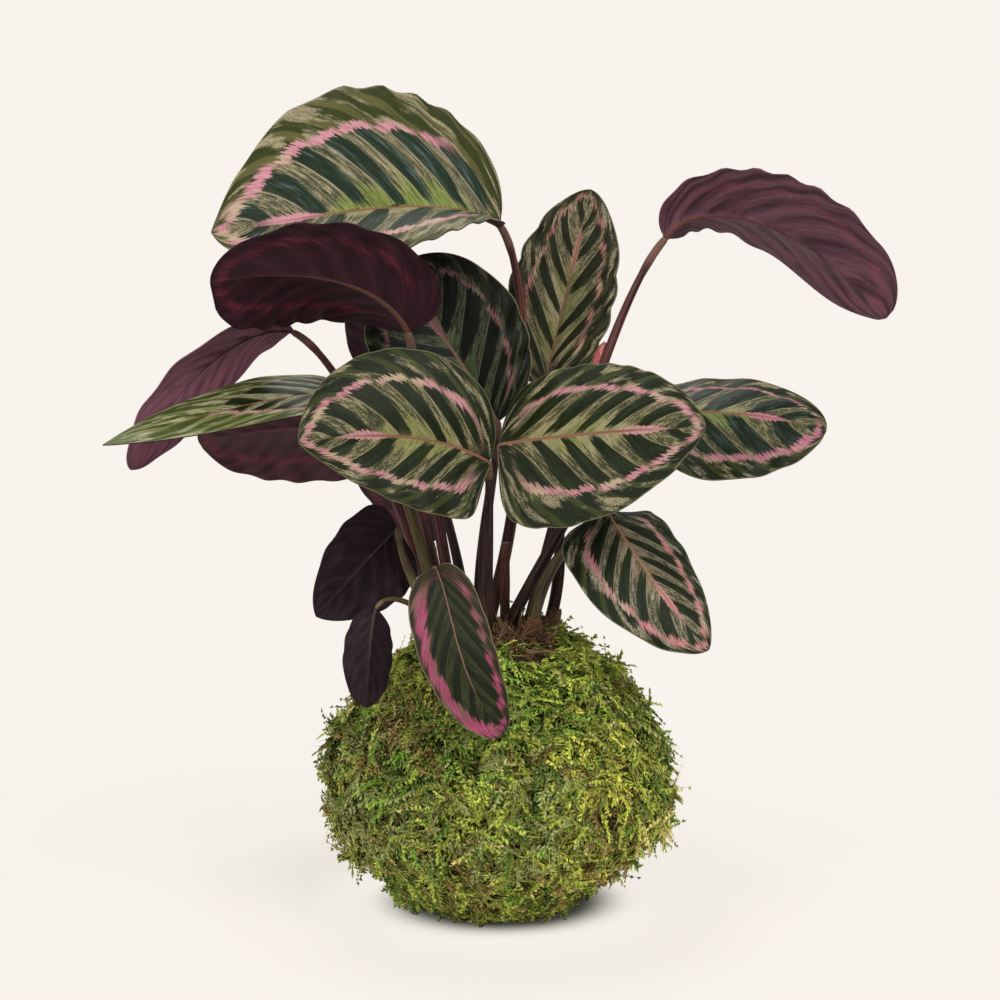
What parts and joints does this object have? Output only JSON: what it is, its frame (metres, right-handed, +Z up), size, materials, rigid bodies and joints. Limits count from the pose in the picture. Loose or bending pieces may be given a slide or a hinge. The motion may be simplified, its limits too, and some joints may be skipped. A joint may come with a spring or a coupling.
{
  "type": "calathea kokedama",
  "caption": "Calathea with broad patterned leaves on slender stalks, growing from a round soil ball wrapped in living moss that stands on its own flattened foot.",
  "frame": {"origin": "centre of the flat foot under the moss ball, on the surface it stands on", "axes": "+Z up along the stalks, -Y towards the viewer on the side with the most leaf faces, +X to that viewer's right"},
  "size_m": [0.3611, 0.1705, 0.3813],
  "materials": {
    "moss": "matte",
    "soil": "matte",
    "roots": "matte",
    "rhizome": "matte",
    "leaf": "satin",
    "stalk": "satin",
    "dry_sheath": "matte",
    "bud": "satin"
  },
  "bodies": {
    "root": {"moss_cover": "moss", "soil_ball": "soil", "root_ball": "roots", "rhizome": "rhizome", "blade_top_left": "leaf", "stalk_top_left": "stalk", "blade_dark_left": "leaf", "stalk_dark_left": "stalk", "blade_far_left": "leaf", "stalk_far_left": "stalk", "blade_rolled_left": "leaf", "stalk_rolled_left": "stalk", "blade_front_left": "leaf", "stalk_front_left": "stalk", "blade_front_right": "leaf", "stalk_front_right": "stalk", "blade_right_side": "leaf", "stalk_right_side": "stalk", "blade_arching_right": "leaf", "stalk_arching_right": "stalk", "blade_upright_centre": "leaf", "stalk_upright_centre": "stalk", "blade_centre_back": "leaf", "stalk_centre_back": "stalk", "blade_hidden_back": "leaf", "stalk_hidden_back": "stalk", "blade_low_left": "leaf", "stalk_low_left": "stalk", "blade_drooping_left": "leaf", "stalk_drooping_left": "stalk", "blade_small_hanging": "leaf", "stalk_small_hanging": "stalk", "blade_pink_front": "leaf", "stalk_pink_front": "stalk", "blade_low_right": "leaf", "stalk_low_right": "stalk", "blade_behind_left": "leaf", "stalk_behind_left": "stalk", "dry_sheath_arching_right": "dry_sheath", "dry_sheath_right_side": "dry_sheath", "dry_sheath_low_right": "dry_sheath", "dry_sheath_upright_centre": "dry_sheath", "rolled_bud": "bud", "cut_stub": "stalk"}
  },
  "joints": []
}
